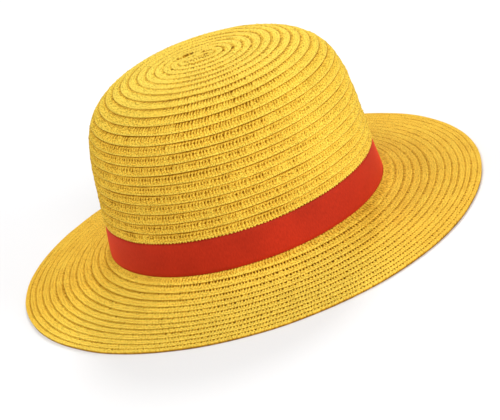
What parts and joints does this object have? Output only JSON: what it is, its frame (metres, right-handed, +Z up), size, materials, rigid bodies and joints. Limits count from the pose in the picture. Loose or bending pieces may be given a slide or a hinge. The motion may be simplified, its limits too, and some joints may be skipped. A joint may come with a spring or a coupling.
{
  "type": "straw hat",
  "caption": "Round-crowned sewn straw braid hat with a medium flared brim and a plain ribbon, resting on its brim.",
  "frame": {"origin": "middle of the brim's outline, on the surface that the hat rests on", "axes": "+Z up through the crown, +X along the long side of the crown and brim, +Y the short way across"},
  "size_m": [0.3322, 0.32, 0.1337],
  "materials": {
    "straw": "sewn yellow straw braid, matt with a light sheen on the strands",
    "ribbon": "plain red woven ribbon, smooth with a soft sheen"
  },
  "bodies": {
    "root": {"crown": "straw", "brim": "straw", "hat_band": "ribbon"}
  },
  "joints": []
}
